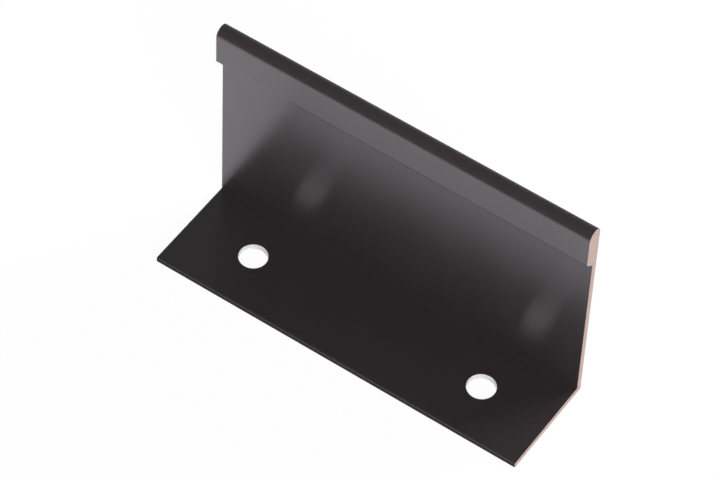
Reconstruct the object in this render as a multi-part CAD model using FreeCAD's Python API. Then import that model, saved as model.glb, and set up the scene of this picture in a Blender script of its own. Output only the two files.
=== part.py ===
import FreeCAD, Part
import math
import os

# Finger pull profile: a sawn length of an extruded L section with a thick rounded lip.
# X runs along the length, Y across the depth with the web at the back, and Z is up.
# The origin is the middle of the rectangle the piece stands on, at the flange's underside.

# driving dimensions, in mm
length = 100.0                # sawn length of the piece
overall_height = 60.0         # underside of the flange to the crest of the lip
overall_depth = 27.5          # back face of the web to the front edge of the flange
flange_thickness = 1.6
web_thickness = 1.6
lip_thickness = 4.2           # back face of the web to the front face of the lip
lip_height = 10.3             # crest of the lip down to the lower edge of its front face
lip_underside_angle = 43.0    # slope of the lip's underside, in degrees from level
root_radius = 0.1             # inside corner between flange and web
heel_radius = 0.4             # outside corner under the web
lip_root_radius = 0.5         # inside corner between the lip's underside and the web
lip_edge_radius = 0.5         # lower front edge of the lip
flange_edge_radius = 0.3      # two arrises along the flange's front edge
hole_diameter = 7.0           # plain screw holes in the flange
hole_spacing = 64.0           # centre to centre along the length
hole_setback = 14.0           # back face of the web to the hole centres

# places in the section that follow from them
back_y = overall_depth / 2
front_y = -overall_depth / 2
web_front_y = back_y - web_thickness
lip_front_y = back_y - lip_thickness
lip_projection = lip_thickness - web_thickness
lip_edge_z = overall_height - lip_height
lip_root_z = lip_edge_z - lip_projection * math.tan(math.radians(lip_underside_angle))
nose_radius = lip_thickness / 2
arris_radius = min(flange_edge_radius, 0.45 * flange_thickness)
hole_y = back_y - hole_setback


def section_corners():
    """Corners of the L section as (y, z, radius), once round from the flange's front edge."""
    return [
        (front_y, 0, arris_radius),
        (back_y, 0, heel_radius),
        (back_y, overall_height, nose_radius),
        (lip_front_y, overall_height, nose_radius),
        (lip_front_y, lip_edge_z, lip_edge_radius),
        (web_front_y, lip_root_z, lip_root_radius),
        (web_front_y, flange_thickness, root_radius),
        (front_y, flange_thickness, arris_radius),
    ]


def rounded_corner(before, corner, after, radius):
    """Start, middle and end of the arc that rounds one corner of an outline."""
    to_before = (before - corner).normalize()
    to_after = (after - corner).normalize()
    half_angle = to_before.getAngle(to_after) / 2
    run = radius / math.tan(half_angle)
    bisector = (to_before + to_after).normalize()
    centre = corner + bisector * (radius / math.sin(half_angle))
    return corner + to_before * run, centre - bisector * radius, corner + to_after * run


def section_face(x):
    """The closed section as a face, in the plane across the length at x."""
    corners = section_corners()
    points = [FreeCAD.Vector(x, y, z) for y, z, radius in corners]
    arcs = []
    for i, (y, z, radius) in enumerate(corners):
        before, after = points[i - 1], points[(i + 1) % len(points)]
        arcs.append(rounded_corner(before, points[i], after, radius))
    edges = []
    for i, (start, middle, end) in enumerate(arcs):
        edges.append(Part.Arc(start, middle, end).toShape())
        next_start = arcs[(i + 1) % len(arcs)][0]
        # the two arcs of the lip's half-round nose meet with no flat between them
        if end.distanceToPoint(next_start) > 1e-6:
            edges.append(Part.LineSegment(end, next_start).toShape())
    return Part.Face(Part.Wire(edges))


def extruded_profile():
    """The section drawn out along the whole length."""
    return section_face(-length / 2).extrude(FreeCAD.Vector(length, 0, 0))


def screw_hole(x):
    """Cutter for one plain hole straight down through the flange."""
    overrun = flange_thickness
    base = FreeCAD.Vector(x, hole_y, -overrun)
    return Part.makeCylinder(hole_diameter / 2, flange_thickness + 2 * overrun, base)


def pull_profile():
    """The drilled piece, one solid."""
    piece = extruded_profile()
    for side in (-1, 1):
        piece = piece.cut(screw_hole(side * hole_spacing / 2))
    return piece


os.makedirs("parts", exist_ok=True)
pull_profile().exportStep("parts/pull_profile.step")
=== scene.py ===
import math
import bmesh
import bpy
from mathutils import Matrix, Vector


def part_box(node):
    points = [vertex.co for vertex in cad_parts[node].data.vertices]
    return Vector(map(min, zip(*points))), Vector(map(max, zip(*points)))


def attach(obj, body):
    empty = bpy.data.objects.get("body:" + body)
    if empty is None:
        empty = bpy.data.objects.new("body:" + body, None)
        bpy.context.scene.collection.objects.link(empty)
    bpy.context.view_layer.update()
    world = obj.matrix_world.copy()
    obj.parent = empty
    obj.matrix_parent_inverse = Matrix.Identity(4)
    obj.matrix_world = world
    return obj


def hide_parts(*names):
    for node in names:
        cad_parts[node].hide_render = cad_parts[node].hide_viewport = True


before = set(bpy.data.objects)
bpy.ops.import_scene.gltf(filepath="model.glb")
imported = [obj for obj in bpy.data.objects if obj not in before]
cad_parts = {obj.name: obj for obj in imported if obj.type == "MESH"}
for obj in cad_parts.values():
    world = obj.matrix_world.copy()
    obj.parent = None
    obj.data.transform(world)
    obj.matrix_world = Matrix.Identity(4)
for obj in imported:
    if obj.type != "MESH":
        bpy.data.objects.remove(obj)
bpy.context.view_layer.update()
nodeName = "pull_profile"
lowCorner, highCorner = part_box(nodeName)
mm = 0.001
touching = 0.001 * mm       # places closer together than this count as one
print("frame loaded, the piece is", [round(v / mm, 2) for v in highCorner - lowCorner], "mm")


# camera

camera = {
    "aim": Vector((-3.72, 1.27, 27.35)) * mm,   # shown in the middle of the picture
    "distance": 908.3 * mm,
    "azimuth": 32.43,      # degrees from straight in front, round towards +X
    "elevation": 51.67,
    "roll": 2.89,
    "lens": 200.8,         # millimetres,
    "sensor": 36.0,        # on a sensor as wide as this
    "nearest": 0.05,       # metres, the camera sees what lies between these two
    "farthest": 50.0,
}


def makeCamera(values):
    azimuth, elevation, roll = (math.radians(values[k]) for k in ("azimuth", "elevation", "roll"))
    back = Vector((
        math.sin(azimuth) * math.cos(elevation),
        -math.cos(azimuth) * math.cos(elevation),
        math.sin(elevation),
    ))
    levelRight = Vector((0, 0, 1)).cross(back).normalized()
    levelUp = back.cross(levelRight)
    right = levelRight * math.cos(roll) + levelUp * math.sin(roll)
    up = back.cross(right)
    place = values["aim"] + back * values["distance"]
    data = bpy.data.cameras.new("studioCamera")
    data.lens = values["lens"]
    data.sensor_width = values["sensor"]
    data.clip_start = values["nearest"]
    data.clip_end = values["farthest"]
    made = bpy.data.objects.new("studioCamera", data)
    made.matrix_world = Matrix((
        (right.x, up.x, back.x, place.x),
        (right.y, up.y, back.y, place.y),
        (right.z, up.z, back.z, place.z),
        (0, 0, 0, 1),
    ))
    bpy.context.scene.collection.objects.link(made)
    bpy.context.scene.camera = made
    print("camera placed")


# helpers for node trees

def addNode(tree, kind, inputs=None, **settings):
    node = tree.nodes.new(kind)
    for name, value in settings.items():
        setattr(node, name, value)
    for key, value in (inputs or {}).items():
        if isinstance(value, bpy.types.NodeSocket):
            tree.links.new(value, node.inputs[key])
        else:
            node.inputs[key].default_value = value
    return node


def calculate(tree, operation, first, second=0.0, third=0.0):
    # one Math node of a shader tree or a geometry tree
    node = addNode(tree, "ShaderNodeMath", {0: first, 1: second, 2: third}, operation=operation)
    return node.outputs[0]


def splitVector(tree, vector):
    return addNode(tree, "ShaderNodeSeparateXYZ", {"Vector": vector}).outputs


def addSockets(tree, inputs, outputs):
    for name, kind, start in inputs:
        socket = tree.interface.new_socket(name, in_out="INPUT", socket_type=kind)
        if start is not None:
            socket.default_value = start
    for name, kind in outputs:
        tree.interface.new_socket(name, in_out="OUTPUT", socket_type=kind)


# the profile

profile = {
    "wall": 1.6 * mm,               # flange and web
    "lipThickness": 4.2 * mm,
    "lipHeight": 10.3 * mm,         # crest to the lower edge of the lip's front face
    "undersideAngle": 43.0,         # degrees from level
    "rootRadius": 0.1 * mm,
    "heelRadius": 0.4 * mm,
    "lipRootRadius": 0.5 * mm,
    "lipEdgeRadius": 0.5 * mm,
    "flangeEdgeRadius": 0.3 * mm,
    "holeRadius": 3.5 * mm,
    "holeSpacing": 64.0 * mm,
    "holeSetback": 14.0 * mm,       # back face to the hole centres
    "holeSides": 128,
    "holeRim": 0.05 * mm,           # broken edge at each end of a hole
    "coatThickness": 0.03 * mm,     # seen as a dark line round the sawn ends
    "arcStep": 0.12 * mm,           # longest facet on the rounded edges, about
    "fewestSteps": 5,               # facets on the smallest of them
    "noseShare": 0.9999,            # of half the lip's thickness, so that the nose's two arcs stay apart
    "sharpAngle": 32.0,             # degrees; an edge that turns further than this is shaded sharp
}


def sectionOutline(values):
    # the section's corners as (y, z, radius), once round from the flange's front edge
    front, back, crest = lowCorner.y, highCorner.y, highCorner.z
    webFront = back - values["wall"]
    lipFront = back - values["lipThickness"]
    lipEdge = crest - values["lipHeight"]
    drop = (webFront - lipFront) * math.tan(math.radians(values["undersideAngle"]))
    nose = values["lipThickness"] / 2 * values["noseShare"]
    return [
        (front, 0, values["flangeEdgeRadius"]),
        (back, 0, values["heelRadius"]),
        (back, crest, nose),
        (lipFront, crest, nose),
        (lipFront, lipEdge, values["lipEdgeRadius"]),
        (webFront, lipEdge - drop, values["lipRootRadius"]),
        (webFront, values["wall"], values["rootRadius"]),
        (front, values["wall"], values["flangeEdgeRadius"]),
    ]


def outlineMesh(values):
    # the outline lies in XY, with what the corner rounding needs kept on its points
    corners = sectionOutline(values)
    mesh = bpy.data.meshes.new("sectionOutline")
    count = len(corners)
    edges = [(i, (i + 1) % count) for i in range(count)]
    mesh.from_pydata([(y, z, 0) for y, z, radius in corners], edges, [])
    radii = mesh.attributes.new("cornerRadius", "FLOAT", "POINT")
    steps = mesh.attributes.new("cornerSteps", "INT", "POINT")
    for i, (y, z, radius) in enumerate(corners):
        radii.data[i].value = radius
        quarterTurn = radius * math.pi / 2
        steps.data[i].value = max(values["fewestSteps"], round(quarterTurn / values["arcStep"]))
    return mesh


def drilledExtrusionTree():
    # an outline is rounded, filled, drawn out along X and drilled through its flange
    tree = bpy.data.node_groups.new("drilledExtrusion", "GeometryNodeTree")
    addSockets(tree, [
        ("Geometry", "NodeSocketGeometry", None),
        ("Length", "NodeSocketFloat", 0.1),
        ("Flange Thickness", "NodeSocketFloat", 0.0016),
        ("Hole Radius", "NodeSocketFloat", 0.0035),
        ("Hole Spacing", "NodeSocketFloat", 0.064),
        ("Hole Place", "NodeSocketFloat", 0.0),
        ("Hole Sides", "NodeSocketInt", 64),
        ("Coat", "NodeSocketMaterial", None),
        ("Sawn Metal", "NodeSocketMaterial", None),
        ("Drilled Metal", "NodeSocketMaterial", None),
    ], [("Geometry", "NodeSocketGeometry")])
    given = addNode(tree, "NodeGroupInput").outputs

    outline = addNode(tree, "GeometryNodeMeshToCurve", {"Mesh": given["Geometry"]})
    radius = addNode(tree, "GeometryNodeInputNamedAttribute", {"Name": "cornerRadius"}, data_type="FLOAT")
    steps = addNode(tree, "GeometryNodeInputNamedAttribute", {"Name": "cornerSteps"}, data_type="INT")
    rounded = addNode(tree, "GeometryNodeFilletCurve", {
        "Curve": outline.outputs["Curve"],
        "Radius": radius.outputs["Attribute"],
        "Count": steps.outputs["Attribute"],
    }, mode="POLY")
    filled = addNode(tree, "GeometryNodeFillCurve", {"Curve": rounded.outputs["Curve"]}, mode="NGONS")

    along = addNode(tree, "ShaderNodeCombineXYZ", {"Z": given["Length"]})
    drawn = addNode(tree, "GeometryNodeExtrudeMesh", {
        "Mesh": filled.outputs["Mesh"],
        "Offset": along.outputs["Vector"],
        "Individual": False,
    }, mode="FACES")
    firstEnd = addNode(tree, "GeometryNodeFlipFaces", {"Mesh": filled.outputs["Mesh"]})
    joined = addNode(tree, "GeometryNodeJoinGeometry")
    tree.links.new(drawn.outputs["Mesh"], joined.inputs[0])
    tree.links.new(firstEnd.outputs["Mesh"], joined.inputs[0])
    closed = addNode(tree, "GeometryNodeMergeByDistance", {
        "Geometry": joined.outputs["Geometry"],
        "Distance": touching,
    })
    start = addNode(tree, "ShaderNodeCombineXYZ", {
        "X": calculate(tree, "MULTIPLY", given["Length"], -0.5),
    })
    laid = addNode(tree, "GeometryNodeTransform", {
        "Geometry": closed.outputs["Geometry"],
        "Translation": start.outputs["Vector"],
        "Rotation": (math.pi / 2, 0, math.pi / 2),
    })

    cutterLength = 3.0      # in flange thicknesses
    cutter = addNode(tree, "GeometryNodeMeshCylinder", {
        "Vertices": given["Hole Sides"],
        "Radius": given["Hole Radius"],
        "Depth": calculate(tree, "MULTIPLY", given["Flange Thickness"], cutterLength),
    })
    firstHole = addNode(tree, "ShaderNodeCombineXYZ", {
        "X": calculate(tree, "MULTIPLY", given["Hole Spacing"], -0.5),
        "Y": given["Hole Place"],
        "Z": calculate(tree, "MULTIPLY", given["Flange Thickness"], 0.5),
    })
    nextHole = addNode(tree, "ShaderNodeCombineXYZ", {"X": given["Hole Spacing"]})
    holes = addNode(tree, "GeometryNodeMeshLine", {
        "Count": 2,
        "Start Location": firstHole.outputs["Vector"],
        "Offset": nextHole.outputs["Vector"],
    })
    cutters = addNode(tree, "GeometryNodeInstanceOnPoints", {
        "Points": holes.outputs["Mesh"],
        "Instance": cutter.outputs["Mesh"],
    })
    solidCutters = addNode(tree, "GeometryNodeRealizeInstances", {
        "Geometry": cutters.outputs["Instances"],
    })
    drilled = addNode(tree, "GeometryNodeMeshBoolean", {
        "Mesh 1": laid.outputs["Geometry"],
        "Mesh 2": solidCutters.outputs["Geometry"],
    }, operation="DIFFERENCE")
    real = addNode(tree, "GeometryNodeRealizeInstances", {"Geometry": drilled.outputs["Mesh"]})

    # faces that look along the length are sawn; those on a hole's wall are drilled
    endFacing = 0.999       # an end's normal lies along X by more than this,
    wallFacing = 0.5        # a hole wall's normal lies along Z by less than this,
    wallReach = 1.001       # and its middle lies within this many radii of the hole's axis
    facing = splitVector(tree, addNode(tree, "GeometryNodeInputNormal").outputs["Normal"])
    spot = splitVector(tree, addNode(tree, "GeometryNodeInputPosition").outputs["Position"])
    isEnd = calculate(tree, "GREATER_THAN", calculate(tree, "ABSOLUTE", facing["X"]), endFacing)
    alongOffset = calculate(
        tree, "SUBTRACT",
        calculate(tree, "ABSOLUTE", spot["X"]),
        calculate(tree, "MULTIPLY", given["Hole Spacing"], 0.5),
    )
    acrossOffset = calculate(tree, "SUBTRACT", spot["Y"], given["Hole Place"])
    fromAxis = calculate(
        tree, "SQRT",
        calculate(
            tree, "ADD",
            calculate(tree, "MULTIPLY", alongOffset, alongOffset),
            calculate(tree, "MULTIPLY", acrossOffset, acrossOffset),
        ),
    )
    reach = calculate(tree, "MULTIPLY", given["Hole Radius"], wallReach)
    nearAxis = calculate(tree, "LESS_THAN", fromAxis, reach)
    upright = calculate(tree, "LESS_THAN", calculate(tree, "ABSOLUTE", facing["Z"]), wallFacing)
    isHole = calculate(tree, "MULTIPLY", nearAxis, upright)

    shown = real.outputs["Geometry"]
    for material, selection in (("Coat", True), ("Sawn Metal", isEnd), ("Drilled Metal", isHole)):
        worn = addNode(tree, "GeometryNodeSetMaterial", {
            "Geometry": shown,
            "Selection": selection,
            "Material": given[material],
        })
        shown = worn.outputs["Geometry"]
    addNode(tree, "NodeGroupOutput", {"Geometry": shown})
    return tree


def modifiersToMesh(source, name):
    bpy.context.view_layer.update()
    graph = bpy.context.evaluated_depsgraph_get()
    mesh = bpy.data.meshes.new_from_object(
        source.evaluated_get(graph), preserve_all_data_layers=True, depsgraph=graph)
    mesh.name = name
    return mesh


def treeToMesh(source, tree, values, name):
    # runs a geometry tree on an object and keeps the result as a plain mesh
    modifier = source.modifiers.new("tree", "NODES")
    modifier.node_group = tree
    for item in tree.interface.items_tree:
        if item.item_type == "SOCKET" and item.in_out == "INPUT" and item.name in values:
            modifier[item.identifier] = values[item.name]
    return modifiersToMesh(source, name)


def newObject(name, mesh):
    made = bpy.data.objects.new(name, mesh)
    bpy.context.scene.collection.objects.link(made)
    return made


def finishEdges(mesh, values, coatIndex, metalIndex):
    # the coat's own thickness shows round each sawn end, and each hole's edges are broken
    shape = bmesh.new()
    shape.from_mesh(mesh)
    bmesh.ops.remove_doubles(shape, verts=shape.verts, dist=touching / 2)
    for x in (lowCorner.x, highCorner.x):
        end = [f for f in shape.faces if all(abs(v.co.x - x) < touching for v in f.verts)]
        rim = bmesh.ops.inset_region(
            shape, faces=end, thickness=values["coatThickness"], use_even_offset=True)
        for face in rim["faces"]:
            face.material_index = coatIndex
    holeY = highCorner.y - values["holeSetback"]

    def onHoleRim(vert):
        fromAxis = math.hypot(abs(vert.co.x) - values["holeSpacing"] / 2, vert.co.y - holeY)
        return abs(fromAxis - values["holeRadius"]) < 10 * touching

    # a rim is made of the short level edges, each about as long as one side of the hole
    side = 2 * math.pi * values["holeRadius"] / values["holeSides"]
    rims = [
        e for e in shape.edges
        if all(onHoleRim(v) for v in e.verts)
        and e.calc_length() < 2 * side
        and abs(e.verts[0].co.z - e.verts[1].co.z) < touching
    ]
    bmesh.ops.bevel(
        shape, geom=rims, offset=values["holeRim"], segments=1, affect="EDGES", material=metalIndex)
    shape.to_mesh(mesh)
    shape.free()


def shadeMesh(source, sharpAngle):
    # flats stay flat and the rounded edges run smoothly into them
    source.data.shade_smooth()
    source.data.set_sharp_from_angle(angle=math.radians(sharpAngle))
    weighted = source.modifiers.new("weighted", "WEIGHTED_NORMAL")
    weighted.mode = "FACE_AREA"
    weighted.keep_sharp = True


def makeProfile(values, coat, sawnMetal, drilledMetal):
    raw = newObject("rawProfile", outlineMesh(values))
    mesh = treeToMesh(raw, drilledExtrusionTree(), {
        "Length": highCorner.x - lowCorner.x,
        "Flange Thickness": values["wall"],
        "Hole Radius": values["holeRadius"],
        "Hole Spacing": values["holeSpacing"],
        "Hole Place": highCorner.y - values["holeSetback"],
        "Hole Sides": values["holeSides"],
        "Coat": coat,
        "Sawn Metal": sawnMetal,
        "Drilled Metal": drilledMetal,
    }, "profileBody")
    bpy.data.objects.remove(raw)
    # the tree leaves an empty slot beside the three finishes
    for i in reversed(range(len(mesh.materials))):
        if mesh.materials[i] is None:
            mesh.materials.pop(index=i)
    names = [m.name for m in mesh.materials]
    finishEdges(mesh, values, names.index(coat.name), names.index(drilledMetal.name))
    unshaded = newObject("unshadedProfile", mesh)
    shadeMesh(unshaded, values["sharpAngle"])
    shaded = modifiersToMesh(unshaded, "finishedProfile")
    bpy.data.objects.remove(unshaded)
    piece = newObject("finished_profile", shaded)
    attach(piece, "root")
    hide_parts(nodeName)
    print("profile made:", len(shaded.vertices), "points,", len(shaded.polygons), "faces")


# finishes

coatFinish = {
    "color": (0.0275, 0.0225, 0.0231),
    "colorChange": 0.14,        # share by which the black drifts from cloud to cloud
    "roughness": 0.235,
    "roughnessChange": 0.025,
    "anisotropy": 0.8,          # the gloss spreads more across the die lines than along them
    "ior": 2.16,
    "glossTint": (1.0, 0.93, 1.025),        # a little less green than white
    "grainSize": 0.22 * mm,
    "grainDepth": 0.0004 * mm,
    "lineWidth": 0.45 * mm,     # of the die lines
    "lineLength": 400.0 * mm,
    "lineDepth": 0.00004 * mm,
    "cloudSize": 16.0 * mm,
}

sawnFinish = {
    "color": (0.644, 0.459, 0.407),
    "darkColor": (0.528, 0.370, 0.323),
    "darkest": 0.75,            # sum of marks and scratches at which the metal has its dark colour,
    "lightest": 1.25,           # and at which it has its light one
    "roughness": 0.38,
    "roughnessChange": 0.10,
    "markSpacing": 0.50 * mm,
    "markLength": 14.0 * mm,
    "markDepth": 0.0035 * mm,
    "scratchCount": 3.7,        # scratches in the width of one mark
    "scratchDepth": 0.0010 * mm,
    "bladeCentre": (0.0, -95.0 * mm, -70.0 * mm),      # the saw marks are arcs round this point
}

drilledFinish = {
    "color": (0.96, 0.955, 0.95),
    "colorChange": 0.06,
    "metallic": 0.35,           # the rest scatters the light that comes in from the floor
    "roughness": 0.62,
    "roughnessChange": 0.05,
    "ringSpacing": 0.16 * mm,
    "ringLength": 3.0 * mm,
    "ringDepth": 0.0006 * mm,
}


def newMaterial(name):
    material = bpy.data.materials.new(name)
    material.use_nodes = True
    tree = material.node_tree
    tree.nodes.clear()
    return material, tree


def fineGrainGroup():
    # a fine grain, and a slow cloudiness over it
    tree = bpy.data.node_groups.new("fineGrain", "ShaderNodeTree")
    addSockets(tree, [
        ("Vector", "NodeSocketVector", None),
        ("Grain Size", "NodeSocketFloat", 0.0003),
        ("Cloud Size", "NodeSocketFloat", 0.02),
    ], [("Grain", "NodeSocketFloat"), ("Cloud", "NodeSocketFloat")])
    given = addNode(tree, "NodeGroupInput").outputs
    grain = addNode(tree, "ShaderNodeTexNoise", {
        "Vector": given["Vector"],
        "Scale": calculate(tree, "DIVIDE", 1.0, given["Grain Size"]),
        "Detail": 2.0,
        "Roughness": 0.55,
    })
    cloud = addNode(tree, "ShaderNodeTexNoise", {
        "Vector": given["Vector"],
        "Scale": calculate(tree, "DIVIDE", 1.0, given["Cloud Size"]),
        "Detail": 3.0,
        "Roughness": 0.5,
    })
    addNode(tree, "NodeGroupOutput", {"Grain": grain.outputs[0], "Cloud": cloud.outputs[0]})
    return tree


def drawnLinesGroup():
    # lines drawn out along one direction, of uneven width and length
    tree = bpy.data.node_groups.new("drawnLines", "ShaderNodeTree")
    addSockets(tree, [
        ("Vector", "NodeSocketVector", None),
        ("Size", "NodeSocketVector", None),
    ], [("Lines", "NodeSocketFloat")])
    given = addNode(tree, "NodeGroupInput").outputs
    scaled = addNode(tree, "ShaderNodeVectorMath", {
        0: given["Vector"],
        1: given["Size"],
    }, operation="DIVIDE")
    lines = addNode(tree, "ShaderNodeTexNoise", {
        "Vector": scaled.outputs["Vector"],
        "Scale": 1.0,
        "Detail": 3.0,
        "Roughness": 0.6,
    })
    addNode(tree, "NodeGroupOutput", {"Lines": lines.outputs[0]})
    return tree


def sawMarksGroup():
    # fine arcs round a far centre: quick changes outward from it, slow ones along the arc
    tree = bpy.data.node_groups.new("sawMarks", "ShaderNodeTree")
    addSockets(tree, [
        ("Vector", "NodeSocketVector", None),
        ("Centre", "NodeSocketVector", None),
        ("Spacing", "NodeSocketFloat", 0.0004),
        ("Arc Length", "NodeSocketFloat", 0.01),
        ("Scratch Count", "NodeSocketFloat", 4.0),
    ], [("Marks", "NodeSocketFloat"), ("Scratches", "NodeSocketFloat")])
    given = addNode(tree, "NodeGroupInput").outputs
    away = addNode(tree, "ShaderNodeVectorMath", {
        0: given["Vector"],
        1: given["Centre"],
    }, operation="SUBTRACT")
    reach = addNode(tree, "ShaderNodeVectorMath", {0: away.outputs["Vector"]}, operation="LENGTH")
    parts = splitVector(tree, away.outputs["Vector"])
    turn = calculate(tree, "ARCTAN2", parts["Z"], parts["Y"])
    arc = calculate(tree, "MULTIPLY", turn, reach.outputs["Value"])
    outward = calculate(tree, "DIVIDE", reach.outputs["Value"], given["Spacing"])
    alongArc = calculate(tree, "DIVIDE", arc, given["Arc Length"])
    place = addNode(tree, "ShaderNodeCombineXYZ", {"X": outward, "Y": alongArc})
    marks = addNode(tree, "ShaderNodeTexNoise", {
        "Vector": place.outputs["Vector"],
        "Scale": 1.0,
        "Detail": 2.0,
        "Roughness": 0.5,
    })
    scratches = addNode(tree, "ShaderNodeTexNoise", {
        "Vector": place.outputs["Vector"],
        "Scale": given["Scratch Count"],
        "Detail": 3.0,
        "Roughness": 0.65,
    })
    addNode(tree, "NodeGroupOutput", {"Marks": marks.outputs[0], "Scratches": scratches.outputs[0]})
    return tree


def placeGroup(tree, group, inputs):
    return addNode(tree, "ShaderNodeGroup", inputs, node_tree=group).outputs


def spread(tree, value, middle, change):
    # carries a noise around 0.5 to a value around the middle one
    low, high = 0.3, 0.7    # nearly all of the noise lies between these
    return addNode(tree, "ShaderNodeMapRange", {
        "Value": value,
        "From Min": low,
        "From Max": high,
        "To Min": middle - change,
        "To Max": middle + change,
    }).outputs["Result"]


def mixColors(tree, factor, first, second):
    # a Mix node has several sockets of one name, so they go by number
    return addNode(tree, "ShaderNodeMix", {0: factor, 6: first, 7: second}, data_type="RGBA").outputs[2]


def opaque(color, share=1.0):
    # a colour for a node, made darker or lighter by the share
    return tuple(c * share for c in color) + (1.0,)


def addBump(tree, height, depth, normal=None):
    inputs = {"Height": height, "Distance": depth, "Strength": 1.0}
    if normal is not None:
        inputs["Normal"] = normal
    return addNode(tree, "ShaderNodeBump", inputs).outputs["Normal"]


def makeCoat(values, grainGroup, linesGroup):
    material, tree = newMaterial("blackSatinCoat")
    place = addNode(tree, "ShaderNodeTexCoord").outputs["Object"]
    fine = placeGroup(tree, grainGroup, {
        "Vector": place,
        "Grain Size": values["grainSize"],
        "Cloud Size": values["cloudSize"],
    })
    drawn = placeGroup(tree, linesGroup, {
        "Vector": place,
        "Size": (values["lineLength"], values["lineWidth"], values["lineWidth"]),
    })
    color = mixColors(
        tree, fine["Cloud"],
        opaque(values["color"], 1 - values["colorChange"]),
        opaque(values["color"], 1 + values["colorChange"]),
    )
    uneven = calculate(tree, "MULTIPLY", calculate(tree, "ADD", drawn["Lines"], fine["Cloud"]), 0.5)
    grainNormal = addBump(tree, fine["Grain"], values["grainDepth"])
    across = addNode(tree, "ShaderNodeTangent", direction_type="RADIAL", axis="X")
    shader = addNode(tree, "ShaderNodeBsdfPrincipled", {
        "Base Color": color,
        "Roughness": spread(tree, uneven, values["roughness"], values["roughnessChange"]),
        "IOR": values["ior"],
        "Specular Tint": opaque(values["glossTint"]),
        "Anisotropic": values["anisotropy"],
        "Tangent": across.outputs["Tangent"],
        "Normal": addBump(tree, drawn["Lines"], values["lineDepth"], grainNormal),
    })
    addNode(tree, "ShaderNodeOutputMaterial", {"Surface": shader.outputs["BSDF"]})
    return material


def makeSawnMetal(values, marksGroup):
    material, tree = newMaterial("sawnAluminium")
    place = addNode(tree, "ShaderNodeTexCoord").outputs["Object"]
    flat = addNode(tree, "ShaderNodeVectorMath", {0: place, 1: (0.0, 1.0, 1.0)}, operation="MULTIPLY")
    sawn = placeGroup(tree, marksGroup, {
        "Vector": flat.outputs["Vector"],
        "Centre": values["bladeCentre"],
        "Spacing": values["markSpacing"],
        "Arc Length": values["markLength"],
        "Scratch Count": values["scratchCount"],
    })
    shade = addNode(tree, "ShaderNodeMapRange", {
        "Value": calculate(tree, "ADD", sawn["Marks"], sawn["Scratches"]),
        "From Min": values["darkest"],
        "From Max": values["lightest"],
    }).outputs["Result"]
    scratchNormal = addBump(tree, sawn["Scratches"], values["scratchDepth"])
    shader = addNode(tree, "ShaderNodeBsdfPrincipled", {
        "Base Color": mixColors(tree, shade, opaque(values["darkColor"]), opaque(values["color"])),
        "Roughness": spread(tree, sawn["Scratches"], values["roughness"], values["roughnessChange"]),
        "Metallic": 1.0,
        "Normal": addBump(tree, sawn["Marks"], values["markDepth"], scratchNormal),
    })
    addNode(tree, "ShaderNodeOutputMaterial", {"Surface": shader.outputs["BSDF"]})
    return material


def makeDrilledMetal(values, linesGroup):
    material, tree = newMaterial("drilledAluminium")
    place = addNode(tree, "ShaderNodeTexCoord").outputs["Object"]
    rings = placeGroup(tree, linesGroup, {
        "Vector": place,
        "Size": (values["ringLength"], values["ringLength"], values["ringSpacing"]),
    })
    color = mixColors(
        tree, rings["Lines"],
        opaque(values["color"], 1 - values["colorChange"]),
        opaque(values["color"]),
    )
    shader = addNode(tree, "ShaderNodeBsdfPrincipled", {
        "Base Color": color,
        "Roughness": spread(tree, rings["Lines"], values["roughness"], values["roughnessChange"]),
        "Metallic": values["metallic"],
        "Normal": addBump(tree, rings["Lines"], values["ringDepth"]),
    })
    addNode(tree, "ShaderNodeOutputMaterial", {"Surface": shader.outputs["BSDF"]})
    return material


# the studio

studio = {
    # places and sizes are in metres
    "floorSize": 8.0,
    "floorGap": 0.02 * mm,        # below the piece's underside
    "floorColor": 0.95,
    "backgroundShare": 0.96,      # white share of the floor as the camera sees it, the rest is lit cloth
    "mirroredShare": 0.52,        # the same share, as the piece mirrors the floor
    # painted shade: the floor as the piece mirrors it is darkened beside the piece, under its holes, on
    # its left and far off
    "edgeLevel": 0.02,            # what is left of the mirrored floor right beside the piece
    "shadeReaches": {             # the distances in which that shade falls to a third
        "left": 1.4 * mm,
        "right": 0.05 * mm,
        "front": 3.6 * mm,
        "back": 3.6 * mm,
    },
    "shadeFall": 1.5,             # the power of the distance by which it falls
    "holeLevel": 0.65,            # what is left of the mirrored floor under the holes,
    "leftLevel": 0.95,            # and all over on the piece's left
    "dimStart": 0.03,             # the mirrored floor grows dark between these distances in front
    "dimEnd": 0.27,               # and behind,
    "sideDimStart": 0.15,         # and between these two at the sides
    "sideDimEnd": 0.60,
    "horizonTop": 0.03,           # height on the sky's unit ball up to which it is white,
    "ceilingStart": 0.20,         # and where it is down to the ceiling's level
    "ceilingLevel": 0.095,
    "sideStart": 0.48,            # sideways place on that ball where the mirrored sky starts to dim,
    "sideEnd": 0.75,              # and where it is down to the sides' level
    "sideLevel": 0.08,
    "cardPlace": -0.19,           # a dark sheet stands in front, which only gloss sees: painted shade in the reflections
    "cardWidth": 1.6,
    "cardHeight": 0.8,
    "cardLevel": 0.125,
}

lamps = {
    # name: (place in metres, size in metres, watts, whether gloss shows it)
    "rightSoftbox": (Vector((1.20, -0.80, 0.80)), 0.8, 23.0, False),
    "leftSoftbox": (Vector((-1.50, -0.35, 0.60)), 0.8, 15.0, False),
    "backSoftbox": (Vector((0.55, 1.35, 0.85)), 0.8, 26.0, True),
}


def smoothStep(tree, value, start, end, startLevel=0.0, endLevel=1.0):
    # goes smoothly from one level to the other as the value goes from start to end
    return addNode(tree, "ShaderNodeMapRange", {
        "Value": value,
        "From Min": start,
        "From Max": end,
        "To Min": startLevel,
        "To Max": endLevel,
    }, interpolation_type="SMOOTHSTEP").outputs["Result"]


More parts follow.
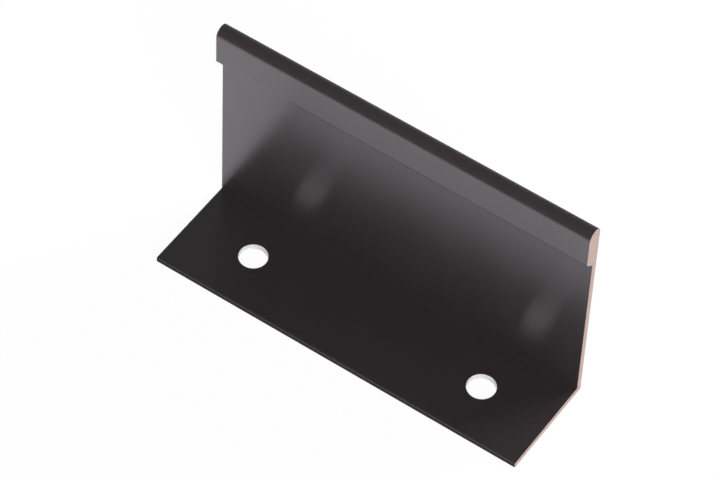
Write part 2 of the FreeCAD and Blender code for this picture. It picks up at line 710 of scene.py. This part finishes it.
def mirroredLoss(tree, values):
    # painted shade: the share of its light that the mirrored floor loses beside the piece, under it, left
    # of it and far off
    spot = splitVector(tree, addNode(tree, "ShaderNodeTexCoord").outputs["Object"])
    reaches = values["shadeReaches"]
    steps = {}
    for axis, low, high, lowSide, highSide in (
        ("X", lowCorner.x, highCorner.x, "left", "right"),
        ("Y", lowCorner.y, highCorner.y, "front", "back"),
    ):
        below = calculate(tree, "SUBTRACT", low, spot[axis])
        above = calculate(tree, "SUBTRACT", spot[axis], high)
        farther = calculate(
            tree, "MAXIMUM",
            calculate(tree, "DIVIDE", below, reaches[lowSide]),
            calculate(tree, "DIVIDE", above, reaches[highSide]),
        )
        steps[axis] = calculate(tree, "MAXIMUM", farther, 0.0)
    outward = addNode(tree, "ShaderNodeCombineXYZ", steps).outputs["Vector"]
    away = addNode(tree, "ShaderNodeVectorMath", {0: outward}, operation="LENGTH").outputs["Value"]
    power = calculate(tree, "MULTIPLY", calculate(tree, "POWER", away, values["shadeFall"]), -1.0)
    edgeLoss = calculate(tree, "MULTIPLY", calculate(tree, "EXPONENT", power), 1.0 - values["edgeLevel"])
    nearLoss = addNode(tree, "ShaderNodeMix", {
        0: calculate(tree, "LESS_THAN", away, 0.001),       # whether the spot lies under the piece
        2: edgeLoss,
        3: 1.0 - values["holeLevel"],
    }).outputs[0]
    isLeft = calculate(tree, "LESS_THAN", spot["X"], lowCorner.x)
    leftLoss = calculate(tree, "MULTIPLY", isLeft, 1.0 - values["leftLevel"])
    distance = calculate(tree, "ABSOLUTE", spot["Y"])
    sideDistance = calculate(tree, "ABSOLUTE", spot["X"])
    farLoss = smoothStep(tree, distance, values["dimStart"], values["dimEnd"])
    sideLoss = smoothStep(tree, sideDistance, values["sideDimStart"], values["sideDimEnd"])
    nearAndLeft = calculate(tree, "MAXIMUM", nearLoss, leftLoss)
    return calculate(tree, "MAXIMUM", nearAndLeft, calculate(tree, "MAXIMUM", farLoss, sideLoss))


def makeFloor(values):
    half = values["floorSize"] / 2
    level = lowCorner.z - values["floorGap"]
    mesh = bpy.data.meshes.new("studioFloor")
    corners = [(-half, -half, level), (half, -half, level), (half, half, level), (-half, half, level)]
    mesh.from_pydata(corners, [], [(0, 1, 2, 3)])
    floor = newObject("studioFloor", mesh)
    material, tree = newMaterial("paleFloor")
    ray = addNode(tree, "ShaderNodeLightPath").outputs
    mirrored = calculate(tree, "MAXIMUM", ray["Is Glossy Ray"], ray["Is Transmission Ray"])
    # the painted shade darkens the floor's colour and glow only where gloss sees the floor
    lost = calculate(tree, "MULTIPLY", mirrored, mirroredLoss(tree, values))
    kept = calculate(tree, "SUBTRACT", 1.0, lost)
    cloth = addNode(tree, "ShaderNodeBsdfDiffuse", {
        "Color": calculate(tree, "MULTIPLY", kept, values["floorColor"]),
    })
    glow = addNode(tree, "ShaderNodeEmission", {"Color": (1, 1, 1, 1), "Strength": kept})
    seenShare = calculate(tree, "MULTIPLY", ray["Is Camera Ray"], values["backgroundShare"])
    mixed = addNode(tree, "ShaderNodeMixShader", {
        0: calculate(tree, "MULTIPLY_ADD", mirrored, values["mirroredShare"], seenShare),
        1: cloth.outputs["BSDF"],
        2: glow.outputs["Emission"],
    })
    addNode(tree, "ShaderNodeOutputMaterial", {"Surface": mixed.outputs["Shader"]})
    mesh.materials.append(material)


def makeCard(values):
    # painted shade: a dim glowing sheet that only gloss sees keeps the gloss of upward and forward faces
    # dark, as a dim room in front of the table does
    half = values["cardWidth"] / 2
    place, height = values["cardPlace"], values["cardHeight"]
    mesh = bpy.data.meshes.new("darkCard")
    corners = [(-half, place, 0), (half, place, 0), (half, place, height), (-half, place, height)]
    mesh.from_pydata(corners, [], [(0, 1, 2, 3)])
    card = newObject("darkCard", mesh)
    for kind in ("camera", "diffuse", "transmission", "volume_scatter", "shadow"):
        setattr(card, "visible_" + kind, False)
    material, tree = newMaterial("dimCard")
    glow = addNode(tree, "ShaderNodeEmission", {"Color": (1, 1, 1, 1), "Strength": values["cardLevel"]})
    addNode(tree, "ShaderNodeOutputMaterial", {"Surface": glow.outputs["Emission"]})
    mesh.materials.append(material)


def makeSky(values):
    # white at the horizon and below, with a dim ceiling over it and, for gloss, dim sides
    world = bpy.data.worlds.new("studioSky")
    world.use_nodes = True
    tree = world.node_tree
    tree.nodes.clear()
    direction = splitVector(tree, addNode(tree, "ShaderNodeTexCoord").outputs["Generated"])
    level = smoothStep(
        tree, direction["Z"], values["horizonTop"], values["ceilingStart"], 1.0, values["ceilingLevel"])
    sideways = calculate(tree, "ABSOLUTE", direction["X"])
    sideLoss = smoothStep(
        tree, sideways, values["sideStart"], values["sideEnd"], 0.0, 1.0 - values["sideLevel"])
    mirrored = addNode(tree, "ShaderNodeLightPath").outputs["Is Glossy Ray"]
    kept = calculate(tree, "SUBTRACT", 1.0, calculate(tree, "MULTIPLY", mirrored, sideLoss))
    sky = addNode(tree, "ShaderNodeBackground", {
        "Color": (1, 1, 1, 1),
        "Strength": calculate(tree, "MULTIPLY", level, kept),
    })
    addNode(tree, "ShaderNodeOutputWorld", {"Surface": sky.outputs["Background"]})
    bpy.context.scene.world = world
    print("floor, card and sky made")


def makeLamps(table):
    for name, (place, size, watts, inGloss) in table.items():
        data = bpy.data.lights.new(name, "AREA")
        data.shape = "SQUARE"
        data.size = size
        data.energy = watts
        lamp = bpy.data.objects.new(name, data)
        lamp.location = place
        lamp.rotation_euler = place.to_track_quat("Z", "Y").to_euler()
        lamp.visible_glossy = inGloss
        bpy.context.scene.collection.objects.link(lamp)
    print("lamps placed:", len(table))


makeCamera(camera)
fineGrain = fineGrainGroup()
drawnLines = drawnLinesGroup()
makeProfile(
    profile,
    makeCoat(coatFinish, fineGrain, drawnLines),
    makeSawnMetal(sawnFinish, sawMarksGroup()),
    makeDrilledMetal(drilledFinish, drawnLines),
)
makeFloor(studio)
makeCard(studio)
makeSky(studio)
makeLamps(lamps)
bpy.context.scene.view_settings.view_transform = "Standard"
